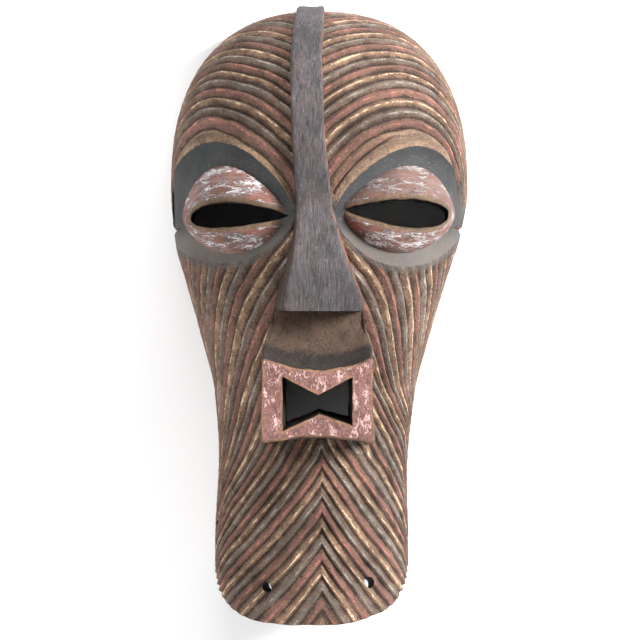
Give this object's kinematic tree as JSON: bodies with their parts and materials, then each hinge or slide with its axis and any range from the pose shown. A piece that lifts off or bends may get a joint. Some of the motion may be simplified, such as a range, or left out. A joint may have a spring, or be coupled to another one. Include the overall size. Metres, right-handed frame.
{
  "type": "carved wooden face mask",
  "caption": "Tall carved wooden face mask of kifwebe type, with striped painted grooves, a crest running into the nose, swollen slit eyes and a block mouth, lying on its back rim.",
  "frame": {"origin": "middle of the mask's box, on the plane of its back rim", "axes": "+X to the right of someone looking at the face, +Y from the chin to the crown, +Z out of the face"},
  "size_m": [0.2276, 0.4622, 0.168],
  "materials": {
    "painted_wood": "matt worn earth paint in red, cream and grey-black bands on carved grooves, dull dark wood inside"
  },
  "bodies": {
    "root": {"mask": "painted_wood"}
  },
  "joints": []
}
